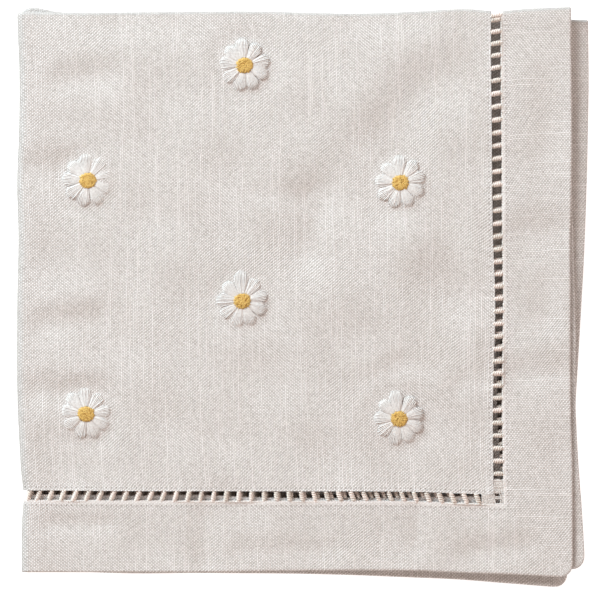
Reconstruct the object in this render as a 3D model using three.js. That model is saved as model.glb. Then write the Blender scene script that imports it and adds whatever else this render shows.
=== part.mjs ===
// Cloth napkin with a ladder-stitched border and six daisies, folded in quarters and lying flat.
// Millimetres, +Z up. The origin is the middle of the underside.
//
// Each piece is laid out on the open napkin first. There u runs to the right and v runs up from the
// napkin's centre, and depth is measured from the middle of the border's thickness, up to the face.
// foldedPlace then gives the place of such a point in the folded napkin. The layers, from the top, are
// 1 (u > 0, v < 0), 2 (u > 0, v > 0), 3 (u < 0, v > 0) and 4 (u < 0, v < 0).

import * as THREE from "three";

// Open napkin
const halfSide = 254;
const cornerRadius = 6;
const seamGap = 0.3;
const panelThickness = 1.0;
const borderThickness = 1.2;

// Ladder between the panel and the border
const ladderClear = 4.5;
const ladderRail = 0.8;
const ladderThickness = 1.0;
const ladderBar = 2.0;
const smallestHole = 1.2;
const cornerBlock = 6.6;
const borderWidth = 30.4;
const borderInner = halfSide - borderWidth;
const ladderOuter = borderInner - seamGap;
const ladderInner = ladderOuter - 2 * ladderRail - ladderClear;
const panelHalf = ladderInner - seamGap;

// Folds
const foldZone = 4;
const foldSteps = 6;
const faceDepth = borderThickness / 2;
const layerHalfStep = 0.78;
const layerCount = 4;

// The origin, measured from the folded corner at the upper left
const originAcross = 129.75;
const originDown = 129.37;

// Outlines of the four layers, in mm from the folded corner, with down and across as shares of a side.
// fold is the folded left edge, and right1 to right4 are the free right edges of the layers. seam is how
// far the ladder beside the right edge strays to the right, and slip how far up.
const sideTable = [
  { down: 0.0, fold: 0.0, right1: 252.2, right2: 251.6, right3: 260.0, right4: 260.0, seam: -0.7, slip: 0.0 },
  { down: 0.1, fold: 0.8, right1: 252.4, right2: 251.6, right3: 260.0, right4: 259.6, seam: -0.9, slip: 0.4 },
  { down: 0.2, fold: 0.5, right1: 252.7, right2: 251.8, right3: 259.9, right4: 259.3, seam: -0.9, slip: -0.6 },
  { down: 0.3, fold: -0.5, right1: 252.4, right2: 252.0, right3: 259.2, right4: 258.7, seam: -0.3, slip: -1.2 },
  { down: 0.4, fold: 0.3, right1: 251.8, right2: 253.8, right3: 258.2, right4: 257.7, seam: 0.3, slip: -2.0 },
  { down: 0.5, fold: -0.2, right1: 251.8, right2: 254.2, right3: 256.8, right4: 256.3, seam: 0.8, slip: -1.5 },
  { down: 0.6, fold: -0.3, right1: 251.8, right2: 254.5, right3: 255.6, right4: 255.0, seam: 0.5, slip: -1.3 },
  { down: 0.7, fold: 0.0, right1: 252.0, right2: 254.6, right3: 254.2, right4: 253.6, seam: 0.1, slip: -0.6 },
  { down: 0.8, fold: 1.2, right1: 252.8, right2: 255.1, right3: 252.5, right4: 252.0, seam: -0.4, slip: -0.4 },
  { down: 0.9, fold: 1.8, right1: 252.9, right2: 256.8, right3: 251.1, right4: 250.5, seam: -0.3, slip: 0.0 },
  { down: 1.0, fold: 2.1, right1: 252.9, right2: 258.4, right3: 250.5, right4: 250.0, seam: 0.0, slip: 0.0 },
];

// upper is the folded top edge of layers 1 and 2, and lower that of layers 3 and 4. seam is how far the
// ladder above the bottom edge strays upwards.
const topTable = [
  { across: 0.0, upper: -0.7, lower: -0.7, seam: 0.7 },
  { across: 0.1, upper: -0.3, lower: -0.6, seam: 0.6 },
  { across: 0.2, upper: -0.1, lower: -1.0, seam: 0.4 },
  { across: 0.3, upper: 0.2, lower: -1.3, seam: 0.3 },
  { across: 0.4, upper: 0.2, lower: -1.6, seam: 0.0 },
  { across: 0.5, upper: -0.1, lower: -1.9, seam: -0.3 },
  { across: 0.6, upper: -0.6, lower: -2.2, seam: -0.4 },
  { across: 0.7, upper: 0.1, lower: -2.6, seam: -0.6 },
  { across: 0.8, upper: 1.2, lower: -2.9, seam: -0.7 },
  { across: 0.9, upper: 1.3, lower: -3.2, seam: -0.4 },
  { across: 1.0, upper: 2.4, lower: -3.5, seam: 0.0 },
];

// bottom1 to bottom4 are the free bottom edges of the layers.
const bottomTable = [
  { across: 0.0, bottom1: -254.9, bottom2: -254.2, bottom3: -254.2, bottom4: -254.9 },
  { across: 0.1, bottom1: -254.9, bottom2: -254.0, bottom3: -254.8, bottom4: -254.9 },
  { across: 0.2, bottom1: -254.9, bottom2: -253.8, bottom3: -255.3, bottom4: -255.0 },
  { across: 0.3, bottom1: -254.9, bottom2: -253.6, bottom3: -255.5, bottom4: -255.1 },
  { across: 0.4, bottom1: -254.6, bottom2: -253.5, bottom3: -255.5, bottom4: -255.1 },
  { across: 0.5, bottom1: -254.2, bottom2: -253.4, bottom3: -255.7, bottom4: -255.2 },
  { across: 0.6, bottom1: -254.0, bottom2: -253.4, bottom3: -256.3, bottom4: -255.8 },
  { across: 0.7, bottom1: -254.1, bottom2: -253.4, bottom3: -257.3, bottom4: -256.8 },
  { across: 0.8, bottom1: -255.1, bottom2: -253.5, bottom3: -258.4, bottom4: -257.9 },
  { across: 0.9, bottom1: -256.0, bottom2: -253.6, bottom3: -259.9, bottom4: -259.4 },
  { across: 1.0, bottom1: -257.3, bottom2: -253.6, bottom3: -261.5, bottom4: -261.0 },
];

// The seam draws the folds in a little at the ladder, and the under fold curls out at the corner.
const seamPlace = 0.865;
const seamReach = 0.09;
const seamPull = { reach: 0.035, depth: 1.1 };
const cornerCurl = { place: 7, before: 4, after: 10.7, height: 2.6 };

// Soft ridges (rise > 0) and troughs (rise < 0) of the top quarter, from one end to the other, in mm from
// the folded corner. The lower layers share them by less and less.
const restingLift = 1.2;
const creases = [
  { fromX: 188, fromY: -30, toX: 132, toY: -92, width: 15, rise: -0.9 },
  { fromX: 150, fromY: -30, toX: 100, toY: -75, width: 20, rise: 0.7 },
  { fromX: 178, fromY: -105, toX: 140, toY: -135, width: 20, rise: 0.5 },
  { fromX: 205, fromY: -190, toX: 175, toY: -200, width: 16, rise: -0.7 },
  { fromX: 150, fromY: -150, toX: 140, toY: -185, width: 16, rise: 0.4 },
  { fromX: 15, fromY: -140, toX: 50, toY: -132, width: 14, rise: -0.5 },
  { fromX: 10, fromY: -68, toX: 30, toY: -62, width: 13, rise: -0.4 },
  { fromX: 12, fromY: -170, toX: 30, toY: -172, width: 12, rise: -0.4 },
  { fromX: 236, fromY: -60, toX: 240, toY: -95, width: 14, rise: 0.5 },
  { fromX: 236, fromY: -160, toX: 244, toY: -158, width: 12, rise: -0.5 },
];

// Daisies on the top quarter, by their places on the open napkin
const petalCount = 9;
const petalInner = 4.2;
const petalMiddle = 7.8;
const petalTip = 11.5;
const petalNotch = 8.3;
const petalHeight = 0.9;
const eyeRadius = 3.9;
const eyeHeight = 1.1;
const stitchGap = 0.4;
const daisies = [
  { u: 104.0, v: -26.8, turn: 4 },
  { u: 33.0, v: -77.9, turn: 7 },
  { u: 175.5, v: -79.3, turn: 4 },
  { u: 103.4, v: -132.5, turn: 5 },
  { u: 31.9, v: -182.9, turn: 0 },
  { u: 175.2, v: -185.7, turn: 6 },
];

const clothColour = 0xdcd7d2;
const threadColour = 0xe2d9cd;
const petalColour = 0xf2efeb;
const eyeColour = 0xdcae55;

function mix(a, b, share) {
  return a + (b - a) * share;
}

function clamp(value, low, high) {
  return Math.min(high, Math.max(low, value));
}

// Value of one column of a table at a place between its rows, on a smooth curve
function tableValue(table, placeName, columnName, place) {
  const spans = table.length - 1;
  const span = clamp(Math.floor(place * spans), 0, spans - 1);
  const [p0, p1, p2, p3] = [-1, 0, 1, 2].map((k) => table[clamp(span + k, 0, spans)][columnName]);
  const share = (place - table[span][placeName]) * spans;
  const slope1 = (p2 - p0) / 2;
  const slope2 = (p3 - p1) / 2;
  const bend = p2 - p1 - slope1;
  const swing = slope2 - slope1 - 2 * bend;
  return p1 + share * (slope1 + share * (bend - swing * (1 - share)));
}

function bump(distance, reach) {
  return Math.exp(-((distance / reach) ** 2));
}

// Height that the top layer gains over a flat stack at a place in the plan
function liftAt(x, y) {
  let lift = restingLift;
  for (const { fromX, fromY, toX, toY, width, rise } of creases) {
    const [runX, runY] = [toX - fromX, toY - fromY];
    const along = ((x - fromX) * runX + (y - fromY) * runY) / (runX ** 2 + runY ** 2);
    const nearest = clamp(along, 0, 1);
    const distance = Math.hypot(x - fromX - nearest * runX, y - fromY - nearest * runY);
    lift += rise * bump(distance, width);
  }
  return Math.max(0, lift);
}

// Rounds the napkin's corners: the square at each corner becomes a quarter disc
function roundedCorner(u, v) {
  const overU = Math.abs(u) - (halfSide - cornerRadius);
  const overV = Math.abs(v) - (halfSide - cornerRadius);
  if (overU <= 0 || overV <= 0) {
    return [u, v];
  }
  const shrink = 1 - Math.max(overU, overV) / Math.hypot(overU, overV);
  return [u - Math.sign(u) * overU * shrink, v - Math.sign(v) * overV * shrink];
}

// Place in the folded napkin of the point (u, v) of the open one, at a depth from -0.6 (back) to 0.6 (face)
function foldedPlace(flatU, flatV, depth) {
  const [u, v] = roundedCorner(flatU, flatV);
  const across = Math.max(0, Math.abs(u) - foldZone) / (halfSide - foldZone);
  const down = Math.max(0, Math.abs(v) - foldZone) / (halfSide - foldZone);
  const layer = u > 0 ? (v > 0 ? 2 : 1) : (v > 0 ? 3 : 4);

  const pullDown = seamPull.depth * bump(down - seamPlace, seamPull.reach);
  const pullAcross = seamPull.depth * bump(across - seamPlace, seamPull.reach);
  const curlReach = -u < cornerCurl.place ? cornerCurl.before : cornerCurl.after;
  const curl = cornerCurl.height * bump(u + cornerCurl.place, curlReach) * clamp(-u / foldZone, 0, 1);

  const foldEdge = tableValue(sideTable, "down", "fold", down) + pullDown;
  const freeEdge = tableValue(sideTable, "down", `right${layer}`, down);
  const topName = u > 0 ? "upper" : "lower";
  const topEdge = tableValue(topTable, "across", topName, across) - pullAcross + curl;
  const bottomEdge = tableValue(bottomTable, "across", `bottom${layer}`, across);

  const bySideLadder = bump(across - seamPlace, seamReach);
  const byBottomLadder = bump(down - seamPlace, seamReach);
  const strayX = tableValue(sideTable, "down", "seam", down) * bySideLadder;
  const strayY = tableValue(topTable, "across", "seam", across) * byBottomLadder
    + tableValue(sideTable, "down", "slip", down) * bySideLadder;
  const outlineX = mix(foldEdge, freeEdge, across) + strayX;
  const outlineY = mix(topEdge, bottomEdge, down) + strayY;
  const halfStep = layerHalfStep + liftAt(outlineX, outlineY) / (2 * (layerCount - 1));
  const sideInset = (3 * halfStep + faceDepth) * (1 - across);
  const topInset = (halfStep + faceDepth) * (1 - down);

  const turnTop = Math.PI / 2 * (1 + clamp(v / foldZone, -1, 1));
  const turnSide = Math.PI / 2 * (1 - clamp(u / foldZone, -1, 1));
  const topRadius = halfStep + depth;
  const sideRadius = 2 * halfStep + topRadius * Math.cos(turnTop);
  return new THREE.Vector3(
    outlineX + sideInset - sideRadius * Math.sin(turnSide) - originAcross,
    outlineY - topInset + topRadius * Math.sin(turnTop) + originDown,
    faceDepth + 3 * halfStep + sideRadius * Math.cos(turnSide),
  );
}

// Closed geometry from corner points and the triangles between them
function solidGeometry(points, triangles) {
  const geometry = new THREE.BufferGeometry();
  geometry.setAttribute("position", new THREE.Float32BufferAttribute(points.flatMap((p) => p.toArray()), 3));
  geometry.setIndex(triangles.flat());
  geometry.computeVertexNormals();
  return geometry;
}

// Cloth over flat triangles of the open napkin: a face, a back and a wall on every edge that has one
// triangle only. flatPoints holds [u, v] pairs, and the triangles turn to the left.
function clothGeometry(flatPoints, flatTriangles, thickness) {
  const count = flatPoints.length;
  const depths = [faceDepth, faceDepth - thickness];
  const points = depths.flatMap((depth) => flatPoints.map(([u, v]) => foldedPlace(u, v, depth)));
  const edgeKey = (a, b) => a * count + b;
  const edges = new Set();
  for (const [a, b, c] of flatTriangles) {
    edges.add(edgeKey(a, b)).add(edgeKey(b, c)).add(edgeKey(c, a));
  }
  const triangles = [];
  const wall = (a, b) => {
    if (!edges.has(edgeKey(b, a))) {
      triangles.push([a, a + count, b + count], [a, b + count, b]);
    }
  };
  for (const [a, b, c] of flatTriangles) {
    triangles.push([a, b, c], [a + count, c + count, b + count]);
    wall(a, b);
    wall(b, c);
    wall(c, a);
  }
  return solidGeometry(points, triangles);
}

// Triangles of a grid of points that is stored row by row
function gridTriangles(columns, rows) {
  const triangles = [];
  for (let j = 0; j < rows; j++) {
    for (let i = 0; i < columns; i++) {
      const corner = j * (columns + 1) + i;
      const above = corner + columns + 1;
      triangles.push([corner, corner + 1, above + 1], [corner, above + 1, above]);
    }
  }
  return triangles;
}

// Triangles of the band between two rows of points, lower and upper, each a list of { along, index }
function bandTriangles(lower, upper) {
  const triangles = [];
  let [i, j] = [0, 0];
  while (i < lower.length - 1 || j < upper.length - 1) {
    const lowerIsNext = j === upper.length - 1
      || (i < lower.length - 1 && lower[i + 1].along < upper[j + 1].along);
    if (lowerIsNext) {
      triangles.push([lower[i].index, lower[i + 1].index, upper[j].index]);
      i += 1;
    } else {
      triangles.push([lower[i].index, upper[j + 1].index, upper[j].index]);
      j += 1;
    }
  }
  return triangles;
}

// Grid lines from one fold zone to an edge, with the fold's own lines between the two sides
function foldLines() {
  return Array.from({ length: foldSteps + 1 }, (_, k) => foldZone * (2 * k / foldSteps - 1));
}

function evenLines(start, end, steps) {
  return Array.from({ length: steps }, (_, k) => mix(start, end, (k + 1) / steps));
}

function clothMesh(name, geometry, colour, roughness) {
  const material = new THREE.MeshStandardMaterial({ color: colour, roughness, metalness: 0 });
  const mesh = new THREE.Mesh(geometry, material);
  mesh.name = name;
  return mesh;
}

// Centre panel: one cloth in four layers, with closer lines by the fold that curls out at the corner
function centrePanel() {
  const curlEnd = 22;
  const curlLines = evenLines(foldZone, curlEnd, 6);
  const linesRight = evenLines(foldZone, panelHalf, 12);
  const linesLeft = [...curlLines, ...evenLines(curlEnd, panelHalf, 7)];
  const linesTop = evenLines(foldZone, panelHalf, 9);
  const us = [...linesLeft.map((u) => -u).reverse(), ...foldLines(), ...linesRight];
  const vs = [...linesRight.map((v) => -v).reverse(), ...foldLines(), ...linesTop];
  const flatPoints = vs.flatMap((v) => us.map((u) => [u, v]));
  const geometry = clothGeometry(flatPoints, gridTriangles(us.length - 1, vs.length - 1), panelThickness);
  return clothMesh("centre_panel", geometry, clothColour, 0.9);
}

// The four sides of the napkin. A side's own frame has along and out, its distance from the centre, and
// turn is how many quarter turns clockwise take the north side to it. Ladder bars are a pitch apart, one of
// them at phase. A bar's outer end leans along by up to lean, towards the fold before leanZero and away from
// it past that, and leanRate is the change for each mm.
const sides = [
  { name: "north", turn: 0, pitch: 5.82, phase: 1.0, lean: 2.1, leanZero: 105, leanRate: 0.045 },
  { name: "east", turn: 1, pitch: 5.635, phase: 0, lean: 1.0, leanZero: 235, leanRate: 0.005 },
  { name: "south", turn: 2, pitch: 5.82, phase: -1.0, lean: 2.1, leanZero: 105, leanRate: 0.045 },
  { name: "west", turn: 3, pitch: 5.635, phase: 0, lean: 1.0, leanZero: 235, leanRate: 0.005 },
];
const mitrePullBack = seamGap / 2 * Math.SQRT2;

function sidePlace(side, along, out) {
  const places = [[along, out], [out, -along], [-along, -out], [-out, along]];
  return places[side.turn];
}

// Border strip of one side, doubled cloth with a mitre at each end. Its last lines lie close together, for
// the rounded corner.
function borderStrip(side) {
  const straightHalf = 204;
  const straight = evenLines(foldZone, straightHalf, 11);
  const cornerShares = [0.5, 0.85, 0.92, 0.97, 1];
  const outs = [borderInner, borderInner + borderWidth / 2, halfSide];
  const flatPoints = outs.flatMap((out) => {
    const corner = cornerShares.map((share) => mix(straightHalf, out - mitrePullBack, share));
    const half = [...straight, ...corner];
    const alongs = [...half.map((along) => -along).reverse(), ...foldLines(), ...half];
    return alongs.map((along) => sidePlace(side, along, out));
  });
  const columns = 2 * (straight.length + cornerShares.length) + foldSteps;
  const geometry = clothGeometry(flatPoints, gridTriangles(columns, outs.length - 1), borderThickness);
  return clothMesh(`border_${side.name}`, geometry, clothColour, 0.9);
}

// Openings of one side's ladder as { start, end }, cut short by the closed blocks at the corners
function ladderHoles(side) {
  const limit = ladderInner - cornerBlock;
  const holes = [];
  for (let bar = -Math.ceil(limit / side.pitch); bar * side.pitch < limit; bar++) {
    const start = Math.max(-limit, side.phase + bar * side.pitch + ladderBar / 2);
    const end = Math.min(limit, side.phase + (bar + 1) * side.pitch - ladderBar / 2);
    if (end - start > smallestHole) {
      holes.push({ start, end });
    }
  }
  return holes;
}

// Ladder of one side: two whipped edges with twisted bars between them, and a closed block at each corner
function ladderStrip(side) {
  const [near, far] = [ladderInner + ladderRail, ladderOuter - ladderRail];
  const flatPoints = [];
  const pointRow = (out, alongs) => [mitrePullBack - out, ...alongs, out - mitrePullBack].map((along) => {
    flatPoints.push(sidePlace(side, along, out));
    return { along, index: flatPoints.length - 1 };
  });

  const half = evenLines(foldZone, ladderInner - cornerBlock, 12);
  const railAlongs = [...half.map((along) => -along).reverse(), ...foldLines(), ...half];
  const stops = ladderHoles(side).flatMap(({ start, end }) => {
    const bends = foldLines().filter((along) => along > start + ladderRail && along < end - ladderRail);
    return [...[start, ...bends].map((along) => ({ along, open: true })), { along: end, open: false }];
  });
  const halfLean = (along) => {
    const lean = clamp((Math.abs(along) - side.leanZero) * side.leanRate, -side.lean, side.lean);
    return lean * clamp(along / side.pitch, -1, 1) / 2;
  };
  const rows = [
    pointRow(ladderInner, railAlongs),
    pointRow(near, stops.map(({ along }) => along - halfLean(along))),
    pointRow(far, stops.map(({ along }) => along + halfLean(along))),
    pointRow(ladderOuter, railAlongs),
  ];
  const triangles = [...bandTriangles(rows[0], rows[1]), ...bandTriangles(rows[2], rows[3])];
  for (let k = 0; k < rows[1].length - 1; k++) {
    const isOpen = k > 0 && stops[k - 1].open;
    if (!isOpen) {
      triangles.push(...bandTriangles(rows[1].slice(k, k + 2), rows[2].slice(k, k + 2)));
    }
  }
  const geometry = clothGeometry(flatPoints, triangles, ladderThickness);
  return clothMesh(`ladder_${side.name}`, geometry, threadColour, 0.8);
}

// Ring of points round a daisy's centre, one row of its raised profile
function daisyRing(daisy, angles, radiusAt, heightAt) {
  return angles.map((angle) => {
    const radius = radiusAt(angle);
    const u = daisy.u + radius * Math.cos(angle + Math.PI / 2 + THREE.MathUtils.degToRad(daisy.turn));
    const v = daisy.v + radius * Math.sin(angle + Math.PI / 2 + THREE.MathUtils.degToRad(daisy.turn));
    return foldedPlace(u, v, faceDepth + stitchGap + heightAt(angle));
  });
}

// Triangles between two rings of the same length, the first one inside or above the second
function ringBand(ringSize, first, second) {
  const triangles = [];
  for (let k = 0; k < ringSize; k++) {
    const next = (k + 1) % ringSize;
    triangles.push([first + k, second + k, second + next], [first + k, second + next, first + next]);
  }
  return triangles;
}

// Petals: one padded ring whose outline and height swell at each petal and dip between two
function daisyPetals(daisy, number) {
  const stepsPerPetal = 4;
  const ringSize = petalCount * stepsPerPetal;
  const firstNotch = stepsPerPetal / 2;
  const angles = Array.from({ length: ringSize }, (_, k) => 2 * Math.PI * (k - firstNotch) / ringSize);
  const petalShare = (angle) => Math.abs(Math.cos(petalCount * angle / 2)) ** 0.5;
  const outer = (angle) => mix(petalNotch, petalTip, petalShare(angle));
  const rings = [
    daisyRing(daisy, angles, () => petalInner, () => 0),
    daisyRing(daisy, angles, () => petalInner, () => 0.6 * petalHeight),
    daisyRing(daisy, angles, () => petalMiddle, (angle) => petalHeight * mix(0.4, 1, petalShare(angle))),
    daisyRing(daisy, angles, outer, () => 0.35 * petalHeight),
    daisyRing(daisy, angles, (angle) => outer(angle) - 0.2, () => 0),
  ];
  const triangles = [];
  rings.forEach((_, k) => {
    triangles.push(...ringBand(ringSize, k * ringSize, ((k + 1) % rings.length) * ringSize));
  });
  return clothMesh(`daisy_${number}_petals`, solidGeometry(rings.flat(), triangles), petalColour, 0.6);
}

// Eye: a low dome in the middle of the petals
function daisyEye(daisy, number) {
  const ringSize = 12;
  const angles = Array.from({ length: ringSize }, (_, k) => 2 * Math.PI * k / ringSize);
  const ring = (radius, height) => daisyRing(daisy, angles, () => radius, () => height);
  const points = [
    ...ring(0.55 * eyeRadius, eyeHeight),
    ...ring(0.9 * eyeRadius, 0.7 * eyeHeight),
    ...ring(eyeRadius, 0),
    foldedPlace(daisy.u, daisy.v, faceDepth + stitchGap + eyeHeight),
    foldedPlace(daisy.u, daisy.v, faceDepth + stitchGap),
  ];
  const [top, bottom] = [3 * ringSize, 3 * ringSize + 1];
  const triangles = [...ringBand(ringSize, 0, ringSize), ...ringBand(ringSize, ringSize, 2 * ringSize)];
  for (let k = 0; k < ringSize; k++) {
    const next = (k + 1) % ringSize;
    triangles.push([top, k, next], [bottom, 2 * ringSize + next, 2 * ringSize + k]);
  }
  return clothMesh(`daisy_${number}_eye`, solidGeometry(points, triangles), eyeColour, 0.7);
}

const napkin = new THREE.Group();
napkin.name = "folded_napkin";
napkin.add(centrePanel());
sides.forEach((side) => napkin.add(borderStrip(side), ladderStrip(side)));
daisies.forEach((daisy, k) => napkin.add(daisyPetals(daisy, k + 1), daisyEye(daisy, k + 1)));

export default napkin;
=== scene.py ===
# Cloth napkin with a ladder-stitched border and six daisies, folded in quarters and seen from above.
import math
from functools import partial

import bpy
import numpy as np
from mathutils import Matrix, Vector


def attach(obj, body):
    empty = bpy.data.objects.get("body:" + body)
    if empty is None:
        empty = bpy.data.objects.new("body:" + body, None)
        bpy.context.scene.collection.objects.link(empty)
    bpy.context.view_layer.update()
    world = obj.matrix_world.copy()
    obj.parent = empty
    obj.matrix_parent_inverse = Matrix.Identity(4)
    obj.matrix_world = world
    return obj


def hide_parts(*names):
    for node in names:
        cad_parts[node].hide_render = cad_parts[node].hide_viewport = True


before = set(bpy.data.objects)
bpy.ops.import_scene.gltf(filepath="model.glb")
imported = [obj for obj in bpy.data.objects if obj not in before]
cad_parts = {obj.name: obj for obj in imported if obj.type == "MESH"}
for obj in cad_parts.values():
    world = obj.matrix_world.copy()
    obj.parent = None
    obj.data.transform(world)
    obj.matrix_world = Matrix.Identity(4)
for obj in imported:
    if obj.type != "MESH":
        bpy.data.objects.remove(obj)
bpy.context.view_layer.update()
mm = 0.001

# The open napkin, in mm: u runs right and v up from its middle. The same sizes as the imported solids.
napkin = {
    "halfSide": 254.0,
    "cornerRadius": 6.0,
    "borderInner": 223.6,
    "ladderOuter": 223.3,
    "ladderInner": 217.2,
    "panelHalf": 216.9,
    "foldZone": 4.0,  # on each side of a fold, the cloth that goes round it
    "faceDepth": 0.6,  # from the middle of a layer to its face
    "layerHalfStep": 0.78,
    "originAcross": 129.75,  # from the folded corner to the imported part's middle
    "originDown": 129.37,
}

# Outlines of the four layers in the photographed lie, in mm from the folded corner, at each tenth of a side
outline = {
    "fold": [-0.4, 0.5, 0.4, -0.5, 0.1, -0.4, -0.6, -0.3, 0.9, 1.5, 1.6],
    "right1": [252.4, 252.6, 252.9, 252.6, 252.0, 252.0, 252.0, 252.2, 253.0, 253.1, 253.1],
    "right2": [252.2, 252.2, 252.4, 252.6, 253.4, 254.0, 254.6, 254.4, 255.5, 257.3, 258.6],
    "right3": [260.3, 260.6, 260.2, 259.5, 258.5, 257.1, 255.6, 254.1, 252.8, 251.4, 250.8],
    "right4": [260.3, 259.9, 259.6, 259.0, 258.0, 256.6, 255.3, 253.9, 252.3, 250.8, 250.3],
    "sideSeam": [-0.7, -0.9, -0.9, -0.3, 0.3, 0.8, 0.5, 0.1, -0.4, -0.3, 0.0],
    "sideSlip": [0.0, 0.4, -0.6, -1.2, -2.0, -1.5, -1.3, -0.6, -0.4, 0.0, 0.0],
    "upper": [0.4, 0.0, 0.3, 0.5, 0.7, 0.2, -0.3, 0.4, 1.8, 1.8, 2.6],
    "lower": [0.0, 0.1, -0.3, -0.6, -0.9, -1.2, -1.5, -1.9, -2.2, -2.5, -3.2],
    "topSeam": [0.7, 0.6, 0.4, 0.3, 0.0, -0.3, -0.4, -0.6, -0.7, -0.4, 0.0],
    "bottom1": [-255.3, -255.3, -255.3, -255.3, -255.0, -254.6, -254.4, -254.5, -255.5, -256.4, -257.7],
    "bottom2": [-254.6, -254.4, -254.2, -254.0, -253.9, -253.8, -253.8, -253.8, -253.9, -254.0, -254.0],
    "bottom3": [-254.6, -255.5, -256.1, -255.9, -255.9, -256.1, -256.7, -257.7, -258.8, -260.6, -262.4],
    "bottom4": [-255.3, -255.3, -255.4, -255.5, -255.5, -255.6, -256.2, -257.2, -258.3, -260.1, -261.9],
}
# where the ladders lie, as shares of a side, and how far in mm they draw the folds in
seams = {"place": 0.865, "reach": 0.09, "pullReach": 0.035, "pullDepth": 1.1}
# how far the hidden layers' ladders lie off the top one's, beyond their outlines, in mm
hiddenSlip = {
    "acrossOf2": [0.5, 0.7, 0.8, 0.4, -0.6, -0.9, -0.3, 0.4, 1.0, 1.3, 1.0],
    "acrossOf34": [0.0, 0.0, 0.0, 0.0, 0.0, 0.0, 0.2, 0.4, 0.2, -0.6, -1.0],
    "downOf2": [1.8, 1.6, 1.3, 1.5, 0.7, 0.5, 0.6, 1.1, 1.7, 0.6, 0.0],
    "alongOf2": [0.6, -0.3, -0.5, -0.8, -1.0, -0.9, 0.1, 0.5, 0.6, 0.4, 0.0],
}
# the outer share of the free sides where the third layer hangs to the table and the second stands up, in mm
freeSide = {"width": 0.035, "hang3": 0.85, "rise2": 0.45}
# the fold's small curl by the folded corner, in mm along the fold and out from it
cornerCurl = {"place": 6.7, "before": 3.8, "after": 9.2, "height": 2.6}

restingLift = 1.2  # mm that the soft stack stands above a pressed one

# Soft ridges (rise > 0) and troughs (rise < 0) that all layers share, in mm from the folded corner:
# from x, from y, to x, to y, width, rise
creases = [
    (185, -12, 125, -69, 13, 0.65),
    (199, -21, 138, -81, 16, -0.9),
    (136, -82, 131, -108, 7, -0.6),
    (108, -81, 131, -84, 5, -0.42),
    (178, -105, 140, -135, 20, 0.7),
    (188, -117, 200, -128, 12, -0.8),
    (205, -190, 175, -200, 16, -0.6),
    (10, 1, 200, 1, 14, -0.5),
    (10, 2, 212, 2, 8, -0.25),
    (16, -30, 36, -27, 7.5, -0.75),
    (16, -20, 36, -17, 8, 0.3),
    (4, -69, 22, -68, 8, -0.8),
    (6, -59, 24, -58, 8, 0.3),
    (10, -141, 32, -138, 7, -0.7),
    (10, -131, 32, -128, 8, 0.3),
    (6, -172, 32, -173, 6, -0.6),
    (8, -162, 32, -163, 7, 0.3),
    (11, -196, 15, -214, 8, -0.6),
    (26, -193, 34, -194, 6, -0.4),
    (87, -195, 90, -200, 8, -0.5),
    (157, -167, 174, -160, 6, -0.5),
    (174, -160, 187, -162, 6, -0.4),
    (200, -169, 208, -166, 6, -0.5),
    (242, -30, 242, -60, 9, -0.65),
    (262, -10, 262, -100, 50, -0.5),
    (232, -98, 247, -98, 7, -0.65),
    (242, -125, 240, -138, 7, -0.6),
    (230, -152, 248, -150, 6, 0.3),
    (230, -163, 248, -163, 6, -0.48),
    (12, -233, 38, -233, 4.5, -0.6),
    (82, -231, 83, -249, 6, -0.7),
    (101, -245, 142, -245, 5, -0.5),
    (181, -228, 181, -243, 4.5, -0.5),
    (206, -246, 231, -243, 6, -0.8),
]

# Smaller creases of the top layer alone
topCreases = [
    (205, -208, 211, -211, 5, -0.3),
    (206, -40, 207, -190, 4, 0.2),
]


def bump(distance, reach):
    return np.exp(-((distance / reach) ** 2))


def alongOutline(name, place):
    # smooth value of one outline row at a share of the side
    row = np.array(outline[name] if name in outline else hiddenSlip[name])
    spans = len(row) - 1
    span = np.clip(np.floor(place * spans), 0, spans - 1).astype(int)
    p0, p1, p2, p3 = (row[np.clip(span + k, 0, spans)] for k in (-1, 0, 1, 2))
    share = place * spans - span
    slope1, slope2 = (p2 - p0) / 2, (p3 - p1) / 2
    bend = p2 - p1 - slope1
    swing = slope2 - slope1 - 2 * bend
    return p1 + share * (slope1 + share * (bend - swing * (1 - share)))


def byLayer(row, place, right, upper):
    # the outline row of the layer that each point is in, from 1 on top to 4 on the table
    one, two, three, four = (alongOutline(f"{row}{k}", place) for k in (1, 2, 3, 4))
    return np.where(right, np.where(upper, two, one), np.where(upper, three, four))


def creaseHeight(table, x, y):
    height = np.zeros_like(x)
    for fromX, fromY, toX, toY, width, rise in table:
        runX, runY = toX - fromX, toY - fromY
        nearest = np.clip(((x - fromX) * runX + (y - fromY) * runY) / (runX ** 2 + runY ** 2), 0, 1)
        distance = np.hypot(x - fromX - nearest * runX, y - fromY - nearest * runY)
        height += rise * bump(distance, width)
    return height


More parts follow.
